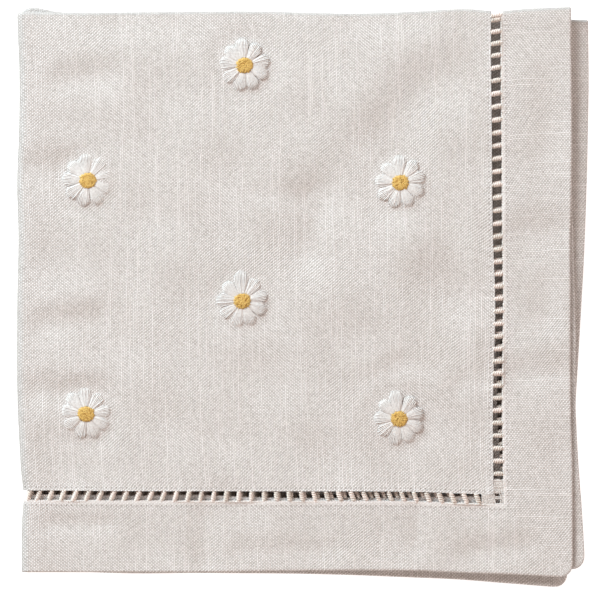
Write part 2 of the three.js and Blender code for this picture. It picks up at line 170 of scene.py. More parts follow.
def foldedPlace(flatU, flatV, depth):
    # Place in the folded napkin, in mm, of points of the open one. depth is faceDepth on the face.
    flatU, flatV, depth = np.broadcast_arrays(*(np.asarray(a, float) for a in (flatU, flatV, depth)))
    straight = napkin["halfSide"] - napkin["cornerRadius"]
    overU, overV = np.abs(flatU) - straight, np.abs(flatV) - straight
    inCorner = (overU > 0) & (overV > 0)
    reach = np.where(inCorner, np.hypot(overU, overV), 1)
    shrink = np.where(inCorner, 1 - np.maximum(overU, overV) / reach, 0)
    u = flatU - np.sign(flatU) * overU * shrink
    v = flatV - np.sign(flatV) * overV * shrink

    zone, half = napkin["foldZone"], napkin["halfSide"]
    across = np.maximum(0, np.abs(u) - zone) / (half - zone)
    down = np.maximum(0, np.abs(v) - zone) / (half - zone)
    right = u > 0
    upper = v > 0
    pullDown = seams["pullDepth"] * bump(down - seams["place"], seams["pullReach"])
    pullAcross = seams["pullDepth"] * bump(across - seams["place"], seams["pullReach"])
    curlReach = np.where(-u < cornerCurl["place"], cornerCurl["before"], cornerCurl["after"])
    curl = cornerCurl["height"] * bump(u + cornerCurl["place"], curlReach) * np.clip(-u / zone, 0, 1)

    foldEdge = alongOutline("fold", down) + pullDown
    freeEdge = byLayer("right", down, right, upper)
    topEdge = np.where(right, alongOutline("upper", across), alongOutline("lower", across)) - pullAcross + curl
    bottomEdge = byLayer("bottom", across, right, upper)
    bySideLadder = bump(across - seams["place"], seams["reach"])
    byBottomLadder = bump(down - seams["place"], seams["reach"])
    hiddenSlide = np.where(right, upper * alongOutline("acrossOf2", down), alongOutline("acrossOf34", down))
    planX = (
        foldEdge + (freeEdge - foldEdge) * across
        + (alongOutline("sideSeam", down) + hiddenSlide) * bySideLadder
        + right * upper * alongOutline("alongOf2", across) * byBottomLadder
    )
    planY = (
        topEdge + (bottomEdge - topEdge) * down
        + (alongOutline("topSeam", across) + upper * alongOutline("downOf2", across)) * byBottomLadder
        + alongOutline("sideSlip", down) * bySideLadder
    )
    # the top layer stands six half steps up
    halfStep = napkin["layerHalfStep"] + np.maximum(0, restingLift + creaseHeight(creases, planX, planY)) / 6
    onTop = np.clip(u / zone, 0, 1) * np.clip(-v / zone, 0, 1)
    depth = depth + onTop * creaseHeight(topCreases, planX, planY)
    nearFree = np.clip((across - 1) / freeSide["width"] + 1, 0, 1) * np.clip(v / zone, 0, 1)
    lowerHalf = np.clip(2 * down - 1, 0, 1)
    depth = depth - nearFree * np.where(right, freeSide["rise2"] * lowerHalf, freeSide["hang3"])

    sideInset = (3 * halfStep + napkin["faceDepth"]) * (1 - across)
    topInset = (halfStep + napkin["faceDepth"]) * (1 - down)
    turnTop = math.pi / 2 * (1 + np.clip(v / zone, -1, 1))
    turnSide = math.pi / 2 * (1 - np.clip(u / zone, -1, 1))
    topRadius = halfStep + depth
    sideRadius = 2 * halfStep + topRadius * np.cos(turnTop)
    return np.stack([
        planX + sideInset - sideRadius * np.sin(turnSide) - napkin["originAcross"],
        planY - topInset + topRadius * np.sin(turnTop) + napkin["originDown"],
        napkin["faceDepth"] + 3 * halfStep + sideRadius * np.cos(turnSide),
    ], axis=-1)


# Materials

def linearColour(hexColour):
    # sRGB hex to the linear values that shaders take
    channels = [int(hexColour[k:k + 2], 16) / 255 for k in (1, 3, 5)]
    return (*[c / 12.92 if c <= 0.04045 else ((c + 0.055) / 1.055) ** 2.4 for c in channels], 1.0)


def addNode(tree, kind, inputs=None, output=0, **settings):
    # adds a node with its settings and links, and gives one of its outputs
    node = tree.nodes.new(kind)
    for name, value in settings.items():
        setattr(node, name, value)
    for name, value in (inputs or {}).items():
        if isinstance(value, bpy.types.NodeSocket):
            tree.links.new(value, node.inputs[name])
        else:
            node.inputs[name].default_value = value
    return node.outputs[output] if node.outputs else None


def newMaterial(name):
    material = bpy.data.materials.new(name)
    material.use_nodes = True
    material.node_tree.nodes.clear()
    return material, partial(addNode, material.node_tree)


linen = {
    "light": "#f3f2f3",
    # the gap colour is painted shade between the threads
    "gapShade": "#99948f",
    "slub": "#f6f5f6",
    "pitchAcross": 0.80,  # mm between the threads that run along v, and between those that run along u
    "pitchAlong": 0.675,
    "wander": 0.35,  # threads
    "wanderPerMm": 0.11,
    "wanderDetail": 3.5,
    "checker": 0.345,
    "slant": 0.12,  # how far the crossings join into slanted lines: 1 is all "/" and -1 all the other way
    "slantChange": 1.6,
    "slantPerMm": 0.03,
    "profileAcross": 0.37,  # painted shade: how much darker a thread is at its sides than along its middle
    "profileAlong": 0.24,
    "weaveMean": 0.55,
    "slubStretch": 60.0,  # mm
    "slubCountAlong": 0.57,  # higher is fewer
    "slubCountAcross": 0.78,
    "slubSoftness": 0.16,
    "slubStrength": 0.42,
    "slubHeight": 0.4,
    "unevenness": 0.36,  # between one thread and the next, and every few mm along it
    "unevenStretch": 2.2,  # mm
    # painted shade for the folds' turned rims
    "foldShadeColour": "#a09b96",
    "foldShade": 0.62,
    "foldReach": (1.0, 4.5),  # mm from a fold, where its shade starts to fade and where it ends
    "bumpHeight": 0.00015,  # m
    "roughness": 0.92,
    "specular": 0.2,
    "sheen": 0.08,
    "sheenRoughness": 0.6,
    "needleShadeColour": "#7c6f66",
    "needlePitch": 2.3,  # mm
    "needleReach": (0.26, 0.42),  # mm from a hole's middle, where its shade starts to fade and where it ends
    "needleShade": 0.45,
    "needleDepth": 0.8,
    "edgeLightShare": 0.6,  # how much painted light the whipped edge of a border gets
    "edgeLightReach": (-1.6, 0.2),  # mm from its needle holes, where that starts to fade and where it ends
}


def slubLinen(name, needleLine, needlesBothWays):
    # Plain-weave linen and cotton: matt, with a fine checked surface and pale thick places in the yarn
    material, add = newMaterial(name)
    uv = add("ShaderNodeUVMap", uv_map="cloth")
    place = add("ShaderNodeVectorMath", {0: uv, 1: (-0.5, -0.5, 0)}, operation="ADD")
    inMm = add("ShaderNodeVectorMath", {0: place, "Scale": 2 * napkin["halfSide"]}, operation="SCALE")
    wander = add("ShaderNodeTexNoise", {"Vector": inMm, "Scale": linen["wanderPerMm"],
                                              "Detail": linen["wanderDetail"]},
                 output="Color", noise_dimensions="2D")
    wander = add("ShaderNodeVectorMath", {0: wander, 1: (-0.5, -0.5, -0.5)}, operation="ADD")
    wander = add("ShaderNodeVectorMath", {0: wander, "Scale": 4 * linen["wander"]}, operation="SCALE")
    pitches = linen["pitchAcross"], linen["pitchAlong"]
    perMm = (1 / pitches[0], 1 / pitches[1], 0)
    count = add("ShaderNodeVectorMath", {0: inMm, 1: perMm}, operation="MULTIPLY")
    count = add("ShaderNodeVectorMath", {0: count, 1: wander}, operation="ADD")
    threads = add("ShaderNodeSeparateXYZ", {0: count}).node.outputs

    # waves across the two sets of threads, and the sides that they pass each other on
    waves, between, profiles = [], [], []
    for thread in (threads[0], threads[1]):
        turned = add("ShaderNodeMath", {0: thread, 1: math.pi}, operation="MULTIPLY")
        waves.append(add("ShaderNodeMath", {0: turned}, operation="SINE"))
        between.append(add("ShaderNodeMath", {0: turned}, operation="COSINE"))
        profiles.append(add("ShaderNodeMath", {0: waves[-1]}, operation="ABSOLUTE"))
    overUnder = add("ShaderNodeMath", {0: waves[0], 1: waves[1]}, operation="MULTIPLY")
    slanted = add("ShaderNodeMath", {0: between[0], 1: between[1]}, operation="MULTIPLY")
    slant = add("ShaderNodeTexNoise", {"Vector": inMm, "Scale": linen["slantPerMm"], "Detail": 1.0},
                noise_dimensions="2D")
    slant = add("ShaderNodeMath", {0: slant, 1: linen["slantChange"],
                                   2: linen["slant"] - 0.5 * linen["slantChange"]},
                operation="MULTIPLY_ADD")
    overUnder = add("ShaderNodeMath", {0: slanted, 1: slant, 2: overUnder}, operation="MULTIPLY_ADD")
    meanWave = 0.637  # of a sine with its troughs turned up
    meanProfile = meanWave * (linen["profileAcross"] + linen["profileAlong"])
    weave = add("ShaderNodeMath", {0: overUnder, 1: linen["checker"], 2: linen["weaveMean"] - meanProfile},
                operation="MULTIPLY_ADD")
    for profile, share in zip(profiles, (linen["profileAcross"], linen["profileAlong"])):
        weave = add("ShaderNodeMath", {0: profile, 1: share, 2: weave}, operation="MULTIPLY_ADD")

    # each thread is a little paler or darker than the next, and changes along its length
    uneven, slubs = [], []
    for alongAxis, acrossAxis, low in ((1, 0, linen["slubCountAlong"]), (0, 1, linen["slubCountAcross"])):
        thread = add("ShaderNodeMath", {0: threads[acrossAxis]}, operation="FLOOR")
        # threads next to each other lie far apart in the noise
        apart = add("ShaderNodeMath", {0: thread, 1: 7.31 + acrossAxis}, operation="MULTIPLY")
        alongMm = add("ShaderNodeMath", {0: threads[alongAxis], 1: pitches[alongAxis]}, operation="MULTIPLY")
        for stretch, kept in ((linen["slubStretch"], slubs), (linen["unevenStretch"], uneven)):
            alongThread = add("ShaderNodeMath", {0: alongMm, 1: 1 / stretch}, operation="MULTIPLY")
            spot = add("ShaderNodeCombineXYZ", {0: apart, 1: alongThread})
            kept.append(add("ShaderNodeTexNoise", {"Vector": spot, "Scale": 1.0, "Detail": 1.0},
                            noise_dimensions="2D"))
        thick = add("ShaderNodeMapRange",
                    {"Value": slubs[-1], "From Min": low, "From Max": low + linen["slubSoftness"]},
                    interpolation_type="SMOOTHSTEP")
        slubs[-1] = add("ShaderNodeMath", {0: thick, 1: profiles[acrossAxis]}, operation="MULTIPLY")
    slub = add("ShaderNodeMath", {0: slubs[0], 1: slubs[1]}, operation="MAXIMUM")
    unevenness = add("ShaderNodeMath", {0: uneven[0], 1: uneven[1]}, operation="ADD")
    unevenness = add("ShaderNodeMath", {0: unevenness, 1: -1.0}, operation="ADD")

    # needle holes of the ladder's whipping, on the line where the needle enters the cloth, with painted shade
    # in them
    byAxis = add("ShaderNodeSeparateXYZ", {0: inMm}).node.outputs
    fadeFrom, fadeTo = linen["needleReach"]
    holes = []
    for lineAxis, stepAxis in ((1, 0), (0, 1))[:2 if needlesBothWays else 1]:
        fromMiddle = add("ShaderNodeMath", {0: byAxis[lineAxis]}, operation="ABSOLUTE")
        offLine = add("ShaderNodeMath", {0: fromMiddle, 1: -needleLine}, operation="ADD")
        step = add("ShaderNodeMath", {0: byAxis[stepAxis], 1: linen["needlePitch"] / 2}, operation="PINGPONG")
        spot = add("ShaderNodeCombineXYZ", {0: offLine, 1: step})
        far = add("ShaderNodeVectorMath", {0: spot}, output="Value", operation="LENGTH")
        holes.append(add("ShaderNodeMapRange", {"Value": far, "From Min": fadeFrom, "From Max": fadeTo,
                                                "To Min": 1.0, "To Max": 0.0}))
    hole = holes[0]
    # pale slubs in the yarn, and on the borders painted light along the whipped edge
    slubAndEdgeLight = add("ShaderNodeMath", {0: slub, 1: linen["slubStrength"]}, operation="MULTIPLY")
    if needlesBothWays:
        hole = add("ShaderNodeMath", {0: holes[0], 1: holes[1]}, operation="MAXIMUM")
    else:
        # painted light along the whipped edge of a border, mixed towards the slub colour
        edgeLightFrom, edgeLightTo = linen["edgeLightReach"]
        sewn = add("ShaderNodeMapRange", {"Value": offLine, "From Min": edgeLightFrom, "From Max": edgeLightTo,
                                          "To Min": linen["edgeLightShare"], "To Max": 0.0})
        slubAndEdgeLight = add("ShaderNodeMath", {0: slubAndEdgeLight, 1: sewn}, operation="MAXIMUM")
    holeShadeShare = add("ShaderNodeMath", {0: hole, 1: linen["needleShade"]}, operation="MULTIPLY")

    # painted shade along the folds, that darkens their turned rims
    fadeFrom, fadeTo = linen["foldReach"]
    shades = []
    for axis in (0, 1):
        fromFold = add("ShaderNodeMath", {0: byAxis[axis]}, operation="ABSOLUTE")
        shades.append(add("ShaderNodeMapRange",
                          {"Value": fromFold, "From Min": fadeFrom, "From Max": fadeTo,
                           "To Min": linen["foldShade"], "To Max": 0.0}))
    foldShadeShare = add("ShaderNodeMath", {0: shades[0], 1: shades[1]}, operation="MAXIMUM")

    # the weave's colour runs from painted shade in its gaps to the pale tops of its threads
    threadShare = add("ShaderNodeMath", {0: unevenness, 1: linen["unevenness"], 2: weave},
                      operation="MULTIPLY_ADD")
    colour = linearColour(linen["gapShade"])
    for share, name, blend in ((threadShare, "light", "MIX"), (slubAndEdgeLight, "slub", "MIX"),
                               (holeShadeShare, "needleShadeColour", "MIX"), (foldShadeShare, "foldShadeColour", "MULTIPLY")):
        colour = add("ShaderNodeMix", {"Factor": share, 6: colour, 7: linearColour(linen[name])},
                     output=2, data_type="RGBA", blend_type=blend)
    height = add("ShaderNodeMath", {0: slub, 1: linen["slubHeight"], 2: weave}, operation="MULTIPLY_ADD")
    height = add("ShaderNodeMath", {0: hole, 1: -linen["needleDepth"], 2: height}, operation="MULTIPLY_ADD")
    normal = add("ShaderNodeBump", {"Height": height, "Strength": 1.0, "Distance": linen["bumpHeight"]})
    shader = add("ShaderNodeBsdfPrincipled",
                 {"Base Color": colour, "Roughness": linen["roughness"],
                  "Specular IOR Level": linen["specular"], "Sheen Weight": linen["sheen"],
                  "Sheen Roughness": linen["sheenRoughness"], "Normal": normal})
    add("ShaderNodeOutputMaterial", {"Surface": shader})
    return material


threadLook = {
    "fibreReach": (0.3, 0.7),  # of the noise, from the darkest fibres to the lightest
    "driftPerM": 130.0,
    "driftReach": (0.42, 0.58),  # of the noise, from the plain stretches to the tinted ones
    "specular": 0.3,
    "bumpStrength": 0.4,
    "bumpHeight": 0.00004,  # m
}


def stitchThread(name, light, shade, grainPerMm, roughness, sheen, tint):
    # Twisted or stranded sewing thread: soft gloss, with fine light and dark fibres
    material, add = newMaterial(name)
    place = add("ShaderNodeTexCoord", output="Object")
    fibre = add("ShaderNodeTexNoise", {"Vector": place, "Scale": 1000.0 * grainPerMm, "Detail": 1.0})
    darkest, lightest = threadLook["fibreReach"]
    share = add("ShaderNodeMapRange", {"Value": fibre, "From Min": darkest, "From Max": lightest})
    colour = add("ShaderNodeMix", {"Factor": share, 6: linearColour(shade), 7: linearColour(light)},
                 output=2, data_type="RGBA")
    if tint:
        plain, tinted = threadLook["driftReach"]
        drift = add("ShaderNodeTexNoise", {"Vector": place, "Scale": threadLook["driftPerM"], "Detail": 0.0})
        drift = add("ShaderNodeMapRange", {"Value": drift, "From Min": plain, "From Max": tinted})
        colour = add("ShaderNodeMix", {"Factor": drift, 6: colour, 7: linearColour(tint)},
                     output=2, data_type="RGBA")
    normal = add("ShaderNodeBump", {"Height": fibre, "Strength": threadLook["bumpStrength"],
                                    "Distance": threadLook["bumpHeight"]})
    shader = add("ShaderNodeBsdfPrincipled",
                 {"Base Color": colour, "Roughness": roughness, "Specular IOR Level": threadLook["specular"],
                  "Sheen Weight": sheen, "Normal": normal})
    add("ShaderNodeOutputMaterial", {"Surface": shader})
    return material


panelLinen = slubLinen("slubLinenPanel", 216.5, True)
borderLinen = slubLinen("slubLinenBorder", 224.5, False)
# light and dark fibres, fibres to a mm, roughness, sheen, and the tint that some stretches have
threadKinds = {
    "ladderCotton": ("#e7e0d9", "#c5bcb4", 1.3, 0.8, 0.1, "#e2d7d1"),
    "whipCotton": ("#f6f3f1", "#cfcac6", 1.4, 0.85, 0.1, None),
    "petalCotton": ("#e8e8e8", "#d8d6d5", 1.2, 0.5, 0.15, None),
    # the padding's darker cotton is painted shade between the petals
    "shadedPadCotton": ("#dad6d4", "#ccc8c6", 1.2, 0.7, 0.1, None),
    "darnCotton": ("#ebe8e6", "#b9b4b0", 1.6, 0.85, 0.1, None),
    "eyeCotton": ("#e3c376", "#cda657", 1.0, 0.6, 0.1, None),
}
cottons = {name: stitchThread(name, *values) for name, values in threadKinds.items()}
print("materials made")


# Meshes

def inScene(name, data):
    thing = bpy.data.objects.new(name, data)
    bpy.context.scene.collection.objects.link(thing)
    return thing


def meshPiece(name, points, faces, material, clothUv=None):
    # points in mm. clothUv gives a place in the weave for each point.
    mesh = bpy.data.meshes.new(name)
    mesh.from_pydata((np.asarray(points) * mm).tolist(), [], [tuple(f) for f in faces])
    mesh.materials.append(material)
    mesh.polygons.foreach_set("use_smooth", np.ones(len(mesh.polygons), bool))
    if clothUv is not None:
        layer = mesh.uv_layers.new(name="cloth")
        corners = np.zeros(len(mesh.loops), int)
        mesh.loops.foreach_get("vertex_index", corners)
        side = 2 * napkin["halfSide"]
        layer.uv.foreach_set("vector", (np.asarray(clothUv)[corners] / side + 0.5).astype(np.float32).ravel())
    mesh.update()
    return inScene(name, mesh)


def clothPiece(name, rows, uvRows, material, thickness, relief, roundedAtLastRow=0.0):
    # A closed sheet over a grid of open-napkin points, rows x columns x (u, v). Its face is at faceDepth.
    rows = np.asarray(rows, float)
    uvRows = np.asarray(uvRows, float)
    rowCount, columnCount = rows.shape[:2]
    u, v = rows[..., 0].ravel(), rows[..., 1].ravel()
    half = np.full(rowCount * columnCount, thickness / 2)
    if roundedAtLastRow:
        fromEdge = np.clip((uvRows[-1, 0, 1] - uvRows[..., 1].ravel()) / roundedAtLastRow, 0, 1)
        half = half * np.maximum(0.2, np.sqrt(1 - (1 - fromEdge) ** 2))
    middle = napkin["faceDepth"] - thickness / 2 + relief(u, v)
    points = np.concatenate([foldedPlace(u, v, middle + half), foldedPlace(u, v, middle - half)])
    count = rowCount * columnCount
    grid = np.arange(count).reshape(rowCount, columnCount)
    front = np.stack([grid[:-1, :-1], grid[:-1, 1:], grid[1:, 1:], grid[1:, :-1]], -1).reshape(-1, 4)
    rim = np.concatenate([grid[0, :-1], grid[:-1, -1], grid[-1, :0:-1], grid[:0:-1, 0]])
    after = np.roll(rim, -1)
    walls = np.stack([rim, rim + count, after + count, after], -1)
    faces = np.concatenate([front, front[:, ::-1] + count, walls])
    uv = uvRows.reshape(-1, 2)
    piece = meshPiece(name, points, faces.tolist(), material, np.concatenate([uv, uv]))
    rims = np.sort(np.concatenate([np.stack([rim, after], -1), np.stack([rim, after], -1) + count]), -1)
    edges = np.zeros(2 * len(piece.data.edges), int)
    piece.data.edges.foreach_get("vertices", edges)
    edges = np.sort(edges.reshape(-1, 2), -1)
    sharp = np.isin(edges @ [1, 2 * count], rims @ [1, 2 * count])
    piece.data.attributes.new("sharp_edge", "BOOLEAN", "EDGE").data.foreach_set("value", sharp)
    return piece


def pressOnTable(piece, softness):
    # the lowest threads lie pressed against the table instead of dipping under it
    places = np.zeros(3 * len(piece.data.vertices), np.float32)
    piece.data.vertices.foreach_get("co", places)
    heights = places[2::3]
    pressed = softness * np.exp(np.minimum(heights / softness - 1, 0))
    places[2::3] = np.where(heights < softness, pressed, heights)
    piece.data.vertices.foreach_set("co", places)
    piece.data.update()


def evenSteps(start, end, step):
    return np.linspace(start, end, max(2, int(math.ceil(abs(end - start) / step)) + 1))[1:]


cloth = {
    "panelThickness": 0.62,
    "borderThickness": 1.15,
    "hemRound": 0.6,
    "panelOver": 1.0,  # mm that the panel's edge covers of the ladder's rail
    "edgeRise": 0.16,  # mm, over the last edgeReach mm
    "edgeReach": 4.0,
    "edgeBulge": 0.85,  # mm that the panel's side edge bellies out, most at bulgePlace
    "bulgeWidth": 8.0,
    "bulgePlace": -135.0,
    "bulgeReach": (30, 42),  # mm above and below there
    "fineStep": 1.7,  # mm, on the layer that shows
    "coarseStep": 6.0,
    "borderStep": 1.9,
    "foldLines": 12,
    "mitreStart": 204.0,  # where a border's lines begin to close up towards its mitre
    "mitreLines": 21,
    "mitreGap": 0.004,
    "seamPucker": 0.12,  # scallops where the whipping draws the edges in
    "puckerPitch": 5.7,
    "puckerReach": 2.6,
    "unevenness": 0.12,
    "foldCalm": 10.0,  # mm from a fold where the relief has its full height
    "daisyDip": 0.25,  # mm, of the ring round a daisy where its stitches draw the cloth down
    "dipRadius": 13.5,
    "dipReach": 3.5,
    "tablePress": 0.4,  # mm over the table where the lowest threads lie pressed together
}
# waves of the cloth's unevenness: radians a mm along u and v, and where each starts
unevenWaves = [(0.11, 0.05, 0.3), (-0.06, 0.13, 1.9), (0.17, -0.04, 4.1), (0.05, 0.21, 2.6), (0.24, 0.12, 0.9)]


def gridLines(low, high, fineSide):
    # lines from low to high through the fold at 0, fine on the side that shows
    zone = napkin["foldZone"]
    fold = np.linspace(-zone, zone, cloth["foldLines"] + 1)
    coarse, fine = cloth["coarseStep"], cloth["fineStep"]
    before = -evenSteps(zone, -low, fine if fineSide < 0 else coarse)[::-1]
    after = evenSteps(zone, high, fine if fineSide > 0 else coarse)
    return np.concatenate([before, fold, after])


def unevenRelief(u, v, height):
    return sum(height * np.sin(a * u + b * v + c) for a, b, c in unevenWaves)


def puckers(fromSeam, along):
    nearSeam = bump(fromSeam, cloth["puckerReach"])
    return cloth["seamPucker"] * nearSeam * np.cos(2 * math.pi * along / cloth["puckerPitch"])


def calmByFolds(u, v):
    return np.clip(np.abs(u) / cloth["foldCalm"], 0, 1) * np.clip(np.abs(v) / cloth["foldCalm"], 0, 1)


def panelRelief(u, v):
    relief = unevenRelief(u, v, cloth["unevenness"])
    for edge, along in ((np.abs(u), v), (np.abs(v), u)):
        relief = relief + puckers(edge - napkin["panelHalf"], along)
    for daisy in daisies:
        off = np.hypot(u - daisy["u"], v - daisy["v"])
        relief = relief - cloth["daisyDip"] * bump(off - cloth["dipRadius"], cloth["dipReach"])
    toEdge = napkin["panelHalf"] + cloth["panelOver"] - np.maximum(np.abs(u), np.abs(v))
    edgeRise = cloth["edgeRise"] * np.clip(1 - toEdge / cloth["edgeReach"], 0, 1) ** 2
    return relief * calmByFolds(u, v) + edgeRise


# Where the daisies are on the open napkin, and how much longer than the others the top petal is, in mm
daisies = [
    {"u": 104.0, "v": -26.8, "turn": 4, "topPetal": 0.3},
    {"u": 33.0, "v": -77.9, "turn": 7, "topPetal": 0.2},
    {"u": 175.8, "v": -79.3, "turn": 4, "topPetal": 0.5},
    {"u": 103.7, "v": -132.6, "turn": 5, "topPetal": 1.9},
    {"u": 31.9, "v": -182.9, "turn": 0, "topPetal": 0.2},
    {"u": 175.2, "v": -185.7, "turn": 6, "topPetal": 1.2},
]


def centrePanel():
    half = napkin["panelHalf"] + cloth["panelOver"]
    curlLines = -np.arange(5, 30, 2.5)
    edgeLines = half - cloth["edgeReach"] * np.array([1.0, 0.6, 0.3])
    us = np.unique(np.concatenate([gridLines(-half, half, 1), curlLines, edgeLines, -edgeLines]))
    vs = np.unique(np.concatenate([gridLines(-half, half, -1), edgeLines, -edgeLines]))
    uvRows = np.stack(np.meshgrid(us, vs), -1)
    rows = uvRows.copy()
    byEdge = np.clip((us - half) / cloth["bulgeWidth"] + 1, 0, 1)
    bulge = bump(vs - cloth["bulgePlace"], np.where(vs > cloth["bulgePlace"], *cloth["bulgeReach"]))
    rows[..., 0] += cloth["edgeBulge"] * byEdge * bulge[:, None]
    return clothPiece("centrePanel", rows, uvRows, panelLinen, cloth["panelThickness"], panelRelief)


# Each side has its own frame, along it and out from the middle. "over" is how much of the ladder's rail the
# border covers, "firstBar" where the bar nearest the fold is, and "barShift" how far the bars of each half are
# moved along the side, all in mm. "fineSide" is the half that shows.
levelSide = {"pitch": 5.82, "lean": 2.1, "leanZero": 105, "leanRate": 0.045, "over": 1.35}
uprightSide = {"pitch": 5.635, "lean": 1.0, "leanZero": 235, "leanRate": 0.005, "over": 1.05}
sides = {
    "north": {**levelSide, "turn": 0, "phase": 1.0, "firstBar": 3.2, "barShift": (1.9, 0), "fineSide": 0},
    "east": {**uprightSide, "turn": 1, "phase": 0.0, "firstBar": 4.6, "barShift": (0, 0), "fineSide": 1},
    "south": {**levelSide, "turn": 2, "phase": -1.0, "firstBar": -3.2, "barShift": (0, 0), "fineSide": -1},
    "west": {**uprightSide, "turn": 3, "phase": 0.0, "firstBar": -3.2, "barShift": (-3.8, 1.9), "fineSide": 0},
}


def sidePlace(side, along, out):
    # place on the open napkin of a point of one side's own frame
    return [(along, out), (out, -along), (-along, -out), (-out, along)][side["turn"]]


def borderRelief(u, v):
    relief = unevenRelief(u, v, 0.8 * cloth["unevenness"])
    relief = relief + puckers(np.maximum(np.abs(u), np.abs(v)) - napkin["borderInner"], np.minimum(u, v))
    return relief * calmByFolds(u, v)


def borderStrip(name, side):
    half, inner = napkin["halfSide"], napkin["borderInner"] - side["over"]
    byHem = half - np.array([1.0, 0.5, 0.2, 0.0])
    outs = np.concatenate([[inner], evenSteps(inner, half - 1.5, cloth["borderStep"]), byHem])
    straight = cloth["mitreStart"]
    lines = gridLines(-straight, straight, side["fineSide"])
    mitreShares = np.linspace(0, 1, cloth["mitreLines"] + 1)[1:] ** 0.9
    rows, uvRows = [], []
    for out in outs:
        ends = straight + (out - cloth["mitreGap"] - straight) * mitreShares
        alongs = np.concatenate([-ends[::-1], lines, ends])
        rows.append([sidePlace(side, along, out) for along in alongs])
        uvRows.append([(-along if side["turn"] % 2 else along, out) for along in alongs])
    return clothPiece(f"border{name.title()}", rows, uvRows, borderLinen, cloth["borderThickness"],
                      borderRelief, cloth["hemRound"])


# Threads by geometry nodes

ladder = {
    "rail": 0.8,
    "clear": 4.5,
    "cornerBlock": 6.6,
    "innerDepth": -0.1,  # mm, of the bars' ends
    "outerDepth": 0.0,
    "strandRadius": 0.52,
    "twistRadius": 0.67,
    "turns": 2.6,
    "strandSides": 6,
    "barPoints": 19,
    "endPinch": 0.5,  # share that a strand is thinner at its ends
    "spin": 0.9,  # radians that a bar is turned about itself at most
    "plumpness": (0.98, 1.14),
    "foldShift": 0.9,  # mm that the bars by a fold are drawn away from it
    "foldReach": 18.0,
    "foldClear": 2.0,
}


def evaluatedMesh(carrier, tree, values, name, material):
    # runs a tree on a carrier of points or paths, and keeps the result as a plain mesh object
    modifier = carrier.modifiers.new("nodes", "NODES")
    modifier.node_group = tree
    identifiers = {item.name: item.identifier for item in tree.interface.items_tree if item.in_out == "INPUT"}
    for key, value in {**values, "Thread": material}.items():
        modifier[identifiers[key]] = value
    graph = bpy.context.evaluated_depsgraph_get()
    mesh = bpy.data.meshes.new_from_object(carrier.evaluated_get(graph))
    mesh.name = name
    bpy.data.objects.remove(carrier)
    return inScene(name, mesh)


def treeWithInputs(name, inputs):
    tree = bpy.data.node_groups.new(name, "GeometryNodeTree")
    tree.interface.new_socket("Carrier", in_out="INPUT", socket_type="NodeSocketGeometry")
    for label, kind, value in inputs:
        tree.interface.new_socket(label, in_out="INPUT", socket_type=kind).default_value = value
    tree.interface.new_socket("Thread", in_out="INPUT", socket_type="NodeSocketMaterial")
    tree.interface.new_socket("Result", in_out="OUTPUT", socket_type="NodeSocketGeometry")
    return tree, partial(addNode, tree), tree.nodes.new("NodeGroupInput").outputs


def finishTree(add, geometry, material):
    smooth = add("GeometryNodeSetShadeSmooth", {"Geometry": geometry})
    real = add("GeometryNodeRealizeInstances", {"Geometry": smooth})
    dressed = add("GeometryNodeSetMaterial", {"Geometry": real, "Material": material})
    add("NodeGroupOutput", {0: dressed})


